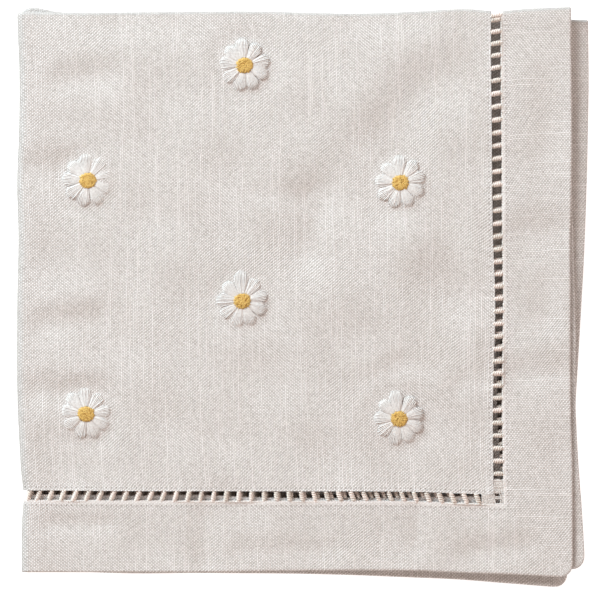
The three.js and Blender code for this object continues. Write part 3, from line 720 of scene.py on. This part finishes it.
def twistedBarTree():
    # a bar of two twisted strands on every point, along "alongBar" with its top towards "upward"
    tree, add, given = treeWithInputs("twistedBars", [
        ("Bar Length", "NodeSocketFloat", 5.5 * mm),
        ("Strand Radius", "NodeSocketFloat", 0.6 * mm),
        ("Twist Radius", "NodeSocketFloat", 0.5 * mm),
        ("Turns", "NodeSocketFloat", 2.3),
        ("Seed", "NodeSocketInt", 3),
    ])
    halfLength = add("ShaderNodeMath", {0: given["Bar Length"], 1: 0.5}, operation="MULTIPLY")
    downwards = add("ShaderNodeMath", {0: halfLength, 1: -1.0}, operation="MULTIPLY")
    start = add("ShaderNodeCombineXYZ", {2: downwards})
    end = add("ShaderNodeCombineXYZ", {2: halfLength})
    line = add("GeometryNodeCurvePrimitiveLine", {"Start": start, "End": end})
    line = add("GeometryNodeResampleCurve", {"Curve": line, "Count": ladder["barPoints"]})
    share = add("GeometryNodeSplineParameter", output="Factor")
    fromMiddle = add("ShaderNodeMath", {0: share, 1: 2.0, 2: -1.0}, operation="MULTIPLY_ADD")
    fromMiddle = add("ShaderNodeMath", {0: fromMiddle}, operation="ABSOLUTE")
    nearEnd = add("ShaderNodeMath", {0: fromMiddle, 1: 6.0}, operation="POWER")
    girth = add("ShaderNodeMath", {0: nearEnd, 1: -ladder["endPinch"], 2: 1.0}, operation="MULTIPLY_ADD")
    reach = add("ShaderNodeMath", {0: girth, 1: given["Twist Radius"]}, operation="MULTIPLY")
    turned = add("ShaderNodeMath", {0: share, 1: given["Turns"]}, operation="MULTIPLY")
    angle = add("ShaderNodeMath", {0: turned, 1: -2 * math.pi}, operation="MULTIPLY")
    sideways = []
    for wave in ("COSINE", "SINE"):
        value = add("ShaderNodeMath", {0: angle}, operation=wave)
        sideways.append(add("ShaderNodeMath", {0: value, 1: reach}, operation="MULTIPLY"))
    offset = add("ShaderNodeCombineXYZ", {0: sideways[0], 1: sideways[1]})
    strand = add("GeometryNodeSetPosition", {"Geometry": line, "Offset": offset})
    section = add("GeometryNodeCurvePrimitiveCircle",
                  {"Resolution": ladder["strandSides"], "Radius": given["Strand Radius"]})
    strand = add("GeometryNodeCurveToMesh",
                 {"Curve": strand, "Profile Curve": section, "Scale": girth, "Fill Caps": True})
    other = add("GeometryNodeTransform", {"Geometry": strand, "Rotation": (0, 0, math.pi)})
    bar = add("GeometryNodeJoinGeometry")
    for half in (strand, other):
        tree.links.new(half, bar.node.inputs[0])

    directions = [add("GeometryNodeInputNamedAttribute", {"Name": name}, data_type="FLOAT_VECTOR")
                  for name in ("alongBar", "upward")]
    facing = add("FunctionNodeAxesToRotation",
                 {"Primary Axis": directions[0], "Secondary Axis": directions[1]},
                 primary_axis="Z", secondary_axis="X")
    spin = add("FunctionNodeRandomValue",
               {"Min": (0, 0, -ladder["spin"]), "Max": (0, 0, ladder["spin"]), "Seed": given["Seed"]},
               data_type="FLOAT_VECTOR")
    spin = add("FunctionNodeEulerToRotation", {0: spin})
    facing = add("FunctionNodeRotateRotation", {"Rotation": facing, "Rotate By": spin}, rotation_space="LOCAL")
    length = add("ShaderNodeVectorMath", {0: directions[0]}, output="Value", operation="LENGTH")
    stretch = add("ShaderNodeMath", {0: length, 1: given["Bar Length"]}, operation="DIVIDE")
    thinnest, plumpest = ladder["plumpness"]
    plump = add("FunctionNodeRandomValue", {2: thinnest, 3: plumpest, "Seed": given["Seed"]},
                output=1, data_type="FLOAT")
    scale = add("ShaderNodeCombineXYZ", {0: plump, 1: plump, 2: stretch})
    placed = add("GeometryNodeInstanceOnPoints",
                 {"Points": given["Carrier"], "Instance": bar, "Rotation": facing, "Scale": scale})
    finishTree(add, placed, given["Thread"])
    return tree


def stitchTree():
    # a round thread along every path, thinner where "girth" is under 1
    tree, add, given = treeWithInputs("stitches", [
        ("Thread Radius", "NodeSocketFloat", 0.25 * mm),
        ("Sides", "NodeSocketInt", 6),
    ])
    path = add("GeometryNodeMeshToCurve", {"Mesh": given["Carrier"]})
    girth = add("GeometryNodeInputNamedAttribute", {"Name": "girth"}, data_type="FLOAT")
    section = add("GeometryNodeCurvePrimitiveCircle",
                  {"Resolution": given["Sides"], "Radius": given["Thread Radius"]})
    tube = add("GeometryNodeCurveToMesh",
               {"Curve": path, "Profile Curve": section, "Scale": girth, "Fill Caps": True})
    finishTree(add, tube, given["Thread"])
    return tree


barTree = twistedBarTree()
threadTree = stitchTree()


def pathCarrier(paths, girths):
    # paths: stitches x points x 3, in mm
    paths = np.asarray(paths, float)
    stitchCount, pointCount = paths.shape[:2]
    ids = np.arange(stitchCount * pointCount).reshape(stitchCount, pointCount)
    edges = np.stack([ids[:, :-1], ids[:, 1:]], -1).reshape(-1, 2)
    mesh = bpy.data.meshes.new("paths")
    mesh.from_pydata((paths.reshape(-1, 3) * mm).tolist(), edges.tolist(), [])
    girthData = mesh.attributes.new("girth", "FLOAT", "POINT").data
    girthData.foreach_set("value", np.ravel(girths).astype(np.float32))
    return inScene("paths", mesh)


def threadsAlong(name, paths, girths, radius, material):
    return evaluatedMesh(pathCarrier(paths, girths), threadTree, {"Thread Radius": radius * mm, "Sides": 6},
                         name, material)


def joined(name, parts):
    # one object of several plain ones, in place
    bpy.ops.object.select_all(action="DESELECT")
    for part in parts:
        part.select_set(True)
    bpy.context.view_layer.objects.active = parts[0]
    bpy.ops.object.join()
    parts[0].name = name
    parts[0].data.name = name
    return parts[0]


def barEnds(side):
    # where each bar crosses the two rails, as (inner along, outer along)
    limit = napkin["ladderInner"] - ladder["cornerBlock"]
    ends = []
    steps = int(limit / side["pitch"]) + 1
    for k in range(-steps, steps + 1):
        along = side["phase"] + k * side["pitch"]
        along += side["barShift"][1 if along > 0 else 0]
        if abs(along) > limit + 0.6:
            continue
        if abs(along) < ladder["foldClear"]:
            along = side["firstBar"]
        else:
            along += math.copysign(ladder["foldShift"], along) * bump(along, ladder["foldReach"])
        lean = np.clip((abs(along) - side["leanZero"]) * side["leanRate"], -side["lean"], side["lean"])
        lean = lean * np.clip(along / side["pitch"], -1, 1) / 2
        ends.append((along - lean, along + lean))
    return ends


def ladderBars(name, side):
    near = napkin["ladderInner"] + ladder["rail"] / 2
    far = napkin["ladderOuter"] - ladder["rail"] / 2
    ends = np.array(barEnds(side))
    inner = np.array([sidePlace(side, a, near) for a in ends[:, 0]])
    outer = np.array([sidePlace(side, a, far) for a in ends[:, 1]])
    start = foldedPlace(inner[:, 0], inner[:, 1], ladder["innerDepth"])
    end = foldedPlace(outer[:, 0], outer[:, 1], ladder["outerDepth"])
    middle = (inner + outer) / 2
    upward = foldedPlace(middle[:, 0], middle[:, 1], 0.6) - foldedPlace(middle[:, 0], middle[:, 1], -0.4)
    mesh = bpy.data.meshes.new("bars")
    mesh.from_pydata(((start + end) / 2 * mm).tolist(), [], [])
    for label, values in (("alongBar", (end - start) * mm), ("upward", upward)):
        data = mesh.attributes.new(label, "FLOAT_VECTOR", "POINT").data
        data.foreach_set("vector", values.astype(np.float32).ravel())
    values = {
        "Bar Length": (ladder["clear"] + ladder["rail"]) * mm,
        "Strand Radius": ladder["strandRadius"] * mm,
        "Twist Radius": ladder["twistRadius"] * mm,
        "Turns": ladder["turns"],
        "Seed": 11 + side["turn"],
    }
    return evaluatedMesh(inScene("bars", mesh), barTree, values, f"bars{name}", cottons["ladderCotton"])


def sidePath(side, along, out, depth):
    along, out = np.broadcast_arrays(np.asarray(along, float), np.asarray(out, float))
    u, v = sidePlace(side, along, out)
    return foldedPlace(u, v, depth)


whipping = {
    "pitch": 0.72,
    "radius": 0.24,
    "reach": 0.7,  # mm that it is sewn into the border
    "slant": 0.45,
    "depth": 0.2,  # mm under the border's face where a stitch starts
    "arch": 0.12,
    "wrap": 0.6,  # mm down round the border's edge
    "past": 0.12,  # mm that it goes past that edge
    # what each stitch differs from these by, in mm, and its thickness
    "places": (-0.12, 0.12),
    "reaches": (-0.15, 0.2),
    "girths": (0.85, 1.1),
}


def ladderWhipping(side):
    # close stitches over the border's edge, that bind the bars' outer ends into it
    rng = np.random.default_rng(20 + side["turn"])
    edge = napkin["borderInner"] - side["over"]
    alongs = np.arange(0.3 - edge, edge - 0.3, whipping["pitch"])
    alongs = alongs + rng.uniform(*whipping["places"], len(alongs))
    turn = np.linspace(0, 1, 6)
    sewnIn = edge + whipping["reach"] + rng.uniform(*whipping["reaches"], len(alongs))
    outs = sewnIn[:, None] + (edge - whipping["past"] - sewnIn[:, None]) * turn
    height = napkin["faceDepth"] - whipping["depth"] + whipping["arch"] * np.sin(math.pi * turn)
    height = height - whipping["wrap"] * turn ** 5
    slanted = alongs[:, None] - whipping["slant"] * turn
    paths = sidePath(side, slanted, outs, np.broadcast_to(height, outs.shape))
    girths = np.ones(outs.shape) * rng.uniform(*whipping["girths"], (len(alongs), 1))
    return threadsAlong("whipping", paths, girths, whipping["radius"], cottons["whipCotton"])


# The threads that close the ladders at a corner, in mm along the side and out from the middle
darning = {
    "pitch": 0.46,
    "radius": 0.3,
    "depth": 0.2,
    "wave": 0.16,
    "sway": 0.22,
    "rise": 0.08,  # mm up or down at random
    "girths": (0.8, 1.15),
    "thisLadder": {"threads": (211.4, 217.2), "span": (211.0, 217.3)},
    "nextLadder": {"threads": (212.6, 218.4), "span": (212.4, 218.4)},
    "cornerThreads": (218.9, 219.3, 219.7, 222.2, 222.6),
    "cornerStart": 218.0,
    "innerLoose": (217.4, 220.7, 219.2, 221.7),  # from along, from out, to along, to out
    "outerLoose": (219.6, 218.4, 222.8, 218.7),
    "looseAcross": ((221.5, 221.1), (222.0, 221.8), (222.5, 222.4)),  # from out, to out
}


def cornerDarning(side):
    # matted threads, woven both ways, with small slits left between them
    rng = np.random.default_rng(30 + side["turn"])
    inner, outer = napkin["panelHalf"] + cloth["panelOver"] - 0.5, napkin["borderInner"] - side["over"] + 0.5
    this, following = darning["thisLadder"], darning["nextLadder"]
    across = np.arange(inner + 0.4, outer, darning["pitch"])
    bundles = [(along, inner, along, outer) for along in np.arange(*this["threads"], darning["pitch"])]
    bundles += [(this["span"][0], out, this["span"][1], out) for out in across]
    bundles += [(inner, out, outer, out) for out in np.arange(*following["threads"], darning["pitch"])]
    bundles += [(along, following["span"][0], along, following["span"][1]) for along in across]
    bundles += [(along, darning["cornerStart"], along, outer) for along in darning["cornerThreads"]]
    bundles += [darning["innerLoose"], *((inner, a, outer, b) for a, b in darning["looseAcross"])]
    bundles += [darning["outerLoose"]]
    share = np.linspace(0, 1, 7)
    paths, girths = [], []
    for k, (fromAlong, fromOut, toAlong, toOut) in enumerate(bundles):
        sway = rng.uniform(-darning["sway"], darning["sway"], 4)
        along = fromAlong + (toAlong - fromAlong) * share + sway[0] * (1 - share) + sway[1] * share
        out = fromOut + (toOut - fromOut) * share + sway[2] * (1 - share) + sway[3] * share
        wave = darning["wave"] * np.sin(2 * math.pi * (share * 3 + 0.5 * (k % 2)))
        wave = wave + rng.uniform(-darning["rise"], darning["rise"])
        paths.append(sidePath(side, along, out, darning["depth"] + wave))
        girths.append(np.full(len(share), rng.uniform(*darning["girths"])))
    return threadsAlong("darning", paths, girths, darning["radius"], cottons["darnCotton"])


daisyStitches = {
    "petals": 9,
    "stitchesPerPetal": 9,
    "innerEnd": 3.4,
    "capCentre": 8.9,
    "capRadius": 2.9,
    "fill": 0.915,  # of each petal's share of the circle
    "petalHeight": 0.36,
    "petalThread": 0.35,
    "tipDip": 0.25,  # mm that a stitch goes down at its tip
    "tipGirth": 0.7,
    # what each petal or stitch differs by, in radians and mm, and the thickness of the stitches
    "petalTurns": (-0.03, 0.03),
    "petalLengths": (-0.35, 0.25),
    "stitchTips": (-0.22, 0.12),
    "stitchStarts": (-0.2, 0.35),
    "stitchSways": (-0.04, 0.04),
    "stitchHeights": (-0.1, 0.1),
    "stitchGirths": (0.85, 1.05),
    "padSteps": 8,  # round each petal
    "padNotch": 6.6,  # mm from the middle to the padding's edge between two petals
    "padPetal": 4.2,  # mm that it reaches further in a petal
    "eyeRadius": 3.5,
    "eyeWidth": 1.08,
    "eyeDepth": 0.92,
    "eyeSquareness": 0.04,
    "eyeHeight": 0.7,
    "eyeStitches": 120,
    "rimStitches": 30,
    "eyeThread": 0.24,
    "eyeArch": 0.22,
    "eyeTurn": 0.06,  # radians at random
    "eyeHeights": (-0.05, 0.08),
    "eyeGirths": (0.85, 1.15),
    "eyeEndGirth": 0.6,
    "knotPlace": 0.75,  # share of the eye's area where the inner stitches are
    "knotLengths": (1.3, 2.2),
    "rimPlaces": (0.82, 0.95),  # shares of its radius where the outer ones are
    "rimLengths": (1.2, 1.9),
    "rimHeading": 0.4,  # radians at random from straight out
}


def onDaisy(daisy, x, y, angle, height):
    # a point x out along a petal and y to its left, at a height over the cloth
    turned = angle + math.radians(daisy["turn"])
    u = daisy["u"] + x * np.cos(turned) - y * np.sin(turned)
    v = daisy["v"] + x * np.sin(turned) + y * np.cos(turned)
    return foldedPlace(u, v, napkin["faceDepth"] + height)


def ringFaces(ringCount, ringSize, closed):
    # quads from each ring of points to the next, and from the last to the first where closed
    faces = []
    for k in range(ringCount if closed else ringCount - 1):
        this, following = k * ringSize, (k + 1) % ringCount * ringSize
        for j in range(ringSize):
            nextJ = (j + 1) % ringSize
            faces.append((this + j, following + j, following + nextJ, this + nextJ))
    return faces


def daisyPetals(daisy, number):
    s = daisyStitches
    rng = np.random.default_rng(40 + number)
    paths, girths = [], []
    along = np.linspace(0, 1, 9)
    for k in range(s["petals"]):
        angle = math.pi / 2 + 2 * math.pi * k / s["petals"] + rng.uniform(*s["petalTurns"])
        longer = daisy["topPetal"] if k == 0 else rng.uniform(*s["petalLengths"])
        for place in np.linspace(-1, 1, s["stitchesPerPetal"]):
            outer = place * (s["capRadius"] - 0.12)
            tip = s["capCentre"] + math.sqrt(max(0, s["capRadius"] ** 2 - outer ** 2)) + longer
            tip += rng.uniform(*s["stitchTips"])
            inner = s["innerEnd"] + rng.uniform(*s["stitchStarts"])
            x = inner + (tip - inner) * along
            sector = s["fill"] * math.pi / s["petals"] * x
            y = outer / s["capRadius"] * np.minimum(s["capRadius"], sector) + rng.uniform(*s["stitchSways"])
            dome = 0.15 + 0.85 * math.sqrt(1 - 0.95 * place ** 2)
            arch = np.sin(math.pi * np.clip(along * 0.9 + 0.1, 0, 1)) ** 0.45
            height = s["petalHeight"] * dome * arch - s["tipDip"] * (along > 0.99)
            height = height + rng.uniform(*s["stitchHeights"])
            paths.append(onDaisy(daisy, x, y, angle, height))
            thickness = rng.uniform(*s["stitchGirths"]) * (1 - 0.1 * place ** 4)
            girths.append(np.where(along > 0.95, s["tipGirth"], 1.0) * thickness)
    threads = threadsAlong("petalThreads", paths, girths, s["petalThread"], cottons["petalCotton"])

    # padding under the stitches, so that no cloth shows between them; it is darker than the petals as painted
    # shade in the gaps between them
    ringSize = s["petals"] * s["padSteps"]
    angles = 2 * math.pi * np.arange(ringSize) / ringSize
    share = np.abs(np.cos(s["petals"] * angles / 2)) ** 0.5
    outer = s["padNotch"] + s["padPetal"] * share
    # radius and height of each ring of it, from the middle out, in mm
    rings = [(np.full(ringSize, 3.0), 0.1), (np.full(ringSize, 3.2), 0.25), (0.75 * outer, 0.15 + 0.15 * share),
             (0.93 * outer, 0.05 + 0.15 * share), (outer, 0.03)]
    points = [onDaisy(daisy, radius * np.cos(angles), radius * np.sin(angles), math.pi / 2, height)
              for radius, height in rings]
    faces = ringFaces(len(rings), ringSize, True)
    pad = meshPiece("pad", np.concatenate(points), faces, cottons["shadedPadCotton"])
    return joined(f"daisy{number}Petals", [threads, pad])


def daisyEye(daisy, number):
    s = daisyStitches
    rng = np.random.default_rng(60 + number)
    along = np.linspace(0, 1, 6)
    paths, girths = [], []
    for k in range(s["eyeStitches"]):
        onRim = k < s["rimStitches"]
        radius = rng.uniform(*s["rimPlaces"]) if onRim else math.sqrt(rng.uniform(0, s["knotPlace"]))
        radius = s["eyeRadius"] * radius
        around = 2 * math.pi * (k / s["rimStitches"] if onRim else rng.uniform(0, 1))
        around = around + rng.uniform(-s["eyeTurn"], s["eyeTurn"])
        squarish = 1 - s["eyeSquareness"] * math.cos(4 * around)
        wide = radius * squarish * math.cos(around) * s["eyeWidth"]
        tall = radius * squarish * math.sin(around) * s["eyeDepth"]
        rimHeading = s["rimHeading"]
        heading = around + rng.uniform(-rimHeading, rimHeading) if onRim else rng.uniform(0, math.pi)
        length = rng.uniform(*(s["rimLengths"] if onRim else s["knotLengths"]))
        reach = (along - 0.5) * length
        x = wide + reach * math.cos(heading)
        y = tall + reach * math.sin(heading)
        dome = np.sqrt(np.clip(1 - (np.hypot(x, y) / (s["eyeRadius"] + 0.9)) ** 2, 0, 1))
        height = s["eyeHeight"] * dome + s["eyeArch"] * np.sin(math.pi * along) + rng.uniform(*s["eyeHeights"])
        paths.append(onDaisy(daisy, x, y, 0, height))
        atEnd = (along < 0.05) | (along > 0.95)
        girths.append(np.where(atEnd, s["eyeEndGirth"], 1.0) * rng.uniform(*s["eyeGirths"]))
    threads = threadsAlong("eyeThreads", paths, girths, s["eyeThread"], cottons["eyeCotton"])

    # a low mound under them, in rings at these shares of the eye's radius and height
    rings = [(0.45, 1.0), (0.8, 0.75), (1.0, 0.3), (1.0, 0.05)]
    ringSize = 24
    angles = 2 * math.pi * np.arange(ringSize) / ringSize
    points = []
    for share, high in rings:
        radius, height = share * s["eyeRadius"], high * s["eyeHeight"]
        points.append(onDaisy(daisy, radius * np.cos(angles), radius * np.sin(angles), 0, height))
    faces = [tuple(range(ringSize)), tuple(3 * ringSize + k for k in reversed(range(ringSize)))]
    faces += ringFaces(len(rings), ringSize, False)
    base = meshPiece("base", np.concatenate(points), faces, cottons["eyeCotton"])
    return joined(f"daisy{number}Eye", [threads, base])


panel = centrePanel()
print("panel made")
borders = {name: borderStrip(name, side) for name, side in sides.items()}
print("borders made")
ladders = {
    name: joined(f"ladder{name.title()}", [ladderBars(name, side), ladderWhipping(side), cornerDarning(side)])
    for name, side in sides.items()
}
print("ladders made")
petals = [daisyPetals(daisy, k + 1) for k, daisy in enumerate(daisies)]
eyes = [daisyEye(daisy, k + 1) for k, daisy in enumerate(daisies)]
print("daisies made")

for piece in (panel, *borders.values(), *ladders.values()):
    pressOnTable(piece, cloth["tablePress"] * mm)

# What each piece stands for, and what carries it
for piece in (panel, *borders.values(), *ladders.values(), *petals, *eyes):
    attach(piece, "root")
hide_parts("centre_panel")
for name in sides:
    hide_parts(f"border_{name}")
    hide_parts(f"ladder_{name}")
for k in range(len(daisies)):
    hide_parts(f"daisy_{k + 1}_petals")
    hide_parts(f"daisy_{k + 1}_eye")

# Floor, light and camera
studio = {
    "floorColour": "#c0c0c0",
    "floorGlow": 0.8,
    "floorSize": 3.0,  # m
    "floorHeight": -0.05,  # mm
    "glowFreeCentre": (-4.5, 4.5),  # mm, of the square under the napkin where the floor doesn't glow
    "glowFreeHalf": 121.0,
    # lights in W, degrees over the floor and m, and their azimuths in degrees from +X
    "key": {"power": 158.0, "colour": (0.835, 1.0, 1.057), "elevation": 19.5, "size": 2.2, "distance": 3.0},
    "keyAzimuths": (128.0,),  # from the upper left of the picture
    "fill": {"power": 15.0, "colour": (1.0, 0.82, 0.73), "elevation": 32.0, "size": 1.0, "distance": 2.4},
    "fillAzimuths": (45.0, 135.0, 225.0, 315.0),
    "skyColour": (1.0, 0.80, 0.70),
    "skyStrength": 0.2,
    "pictureWidth": 273.6,  # mm
    "lookAt": (-1.07, -1.70, 8.0),  # mm
    "cameraHeight": 4000.0,
}


def makeFloor():
    # Matt painted board: pale and plain, with the faint unevenness of a brushed coat
    material, add = newMaterial("paintedBoard")
    place = add("ShaderNodeTexCoord", output="Object")
    centreX, centreY = studio["glowFreeCentre"]
    aside = add("ShaderNodeVectorMath", {0: place, 1: (-centreX * mm, -centreY * mm, 0)}, operation="ADD")
    axes = add("ShaderNodeSeparateXYZ", {0: aside}).node.outputs
    sizes = [add("ShaderNodeMath", {0: axes[k]}, operation="ABSOLUTE") for k in (0, 1)]
    aside = add("ShaderNodeMath", {0: sizes[0], 1: sizes[1]}, operation="MAXIMUM")
    freeHalf = studio["glowFreeHalf"] * mm
    glow = add("ShaderNodeMapRange", {"Value": aside, "From Min": freeHalf - mm, "From Max": freeHalf + mm,
                                      "To Max": studio["floorGlow"]})
    noise = add("ShaderNodeTexNoise", {"Vector": place, "Scale": 60.0})
    roughness = add("ShaderNodeMapRange", {"Value": noise, "To Min": 0.85, "To Max": 1.0})
    shader = add("ShaderNodeBsdfPrincipled",
                 {"Base Color": linearColour(studio["floorColour"]), "Roughness": roughness,
                  "Specular IOR Level": 0.1, "Emission Color": (1, 1, 1, 1), "Emission Strength": glow})
    add("ShaderNodeOutputMaterial", {"Surface": shader})
    mesh = bpy.data.meshes.new("floor")
    half = studio["floorSize"] / 2
    height = studio["floorHeight"] * mm
    corners = [(x * half, y * half, height) for x, y in ((-1, -1), (1, -1), (1, 1), (-1, 1))]
    mesh.from_pydata(corners, [], [(0, 1, 2, 3)])
    mesh.materials.append(material)
    return inScene("floor", mesh)


def makeLight(name, azimuth):
    look = studio[name]
    light = inScene(name, bpy.data.lights.new(name, "AREA"))
    light.data.energy = look["power"]
    light.data.color = look["colour"]
    light.data.size = look["size"]
    tilt, turn = math.radians(look["elevation"]), math.radians(azimuth)
    towards = Vector((math.cos(tilt) * math.cos(turn), math.cos(tilt) * math.sin(turn), math.sin(tilt)))
    light.location = towards * look["distance"]
    light.rotation_euler = towards.to_track_quat("Z", "Y").to_euler()


def makeSky():
    world = bpy.data.worlds.new("studio")
    world.use_nodes = True
    background = world.node_tree.nodes["Background"]
    background.inputs["Color"].default_value = (*studio["skyColour"], 1)
    background.inputs["Strength"].default_value = studio["skyStrength"]
    bpy.context.scene.world = world


def makeCamera():
    camera = inScene("camera", bpy.data.cameras.new("camera"))
    x, y, z = (value * mm for value in studio["lookAt"])
    height = studio["cameraHeight"] * mm
    camera.location = (x, y, z + height)
    camera.data.lens = camera.data.sensor_width * height / (studio["pictureWidth"] * mm)
    camera.data.clip_end = 10
    bpy.context.scene.camera = camera


makeFloor()
for name in ("key", "fill"):
    for azimuth in studio[f"{name}Azimuths"]:
        makeLight(name, azimuth)
makeSky()
makeCamera()
bpy.context.scene.view_settings.view_transform = "Standard"
print("studio made")
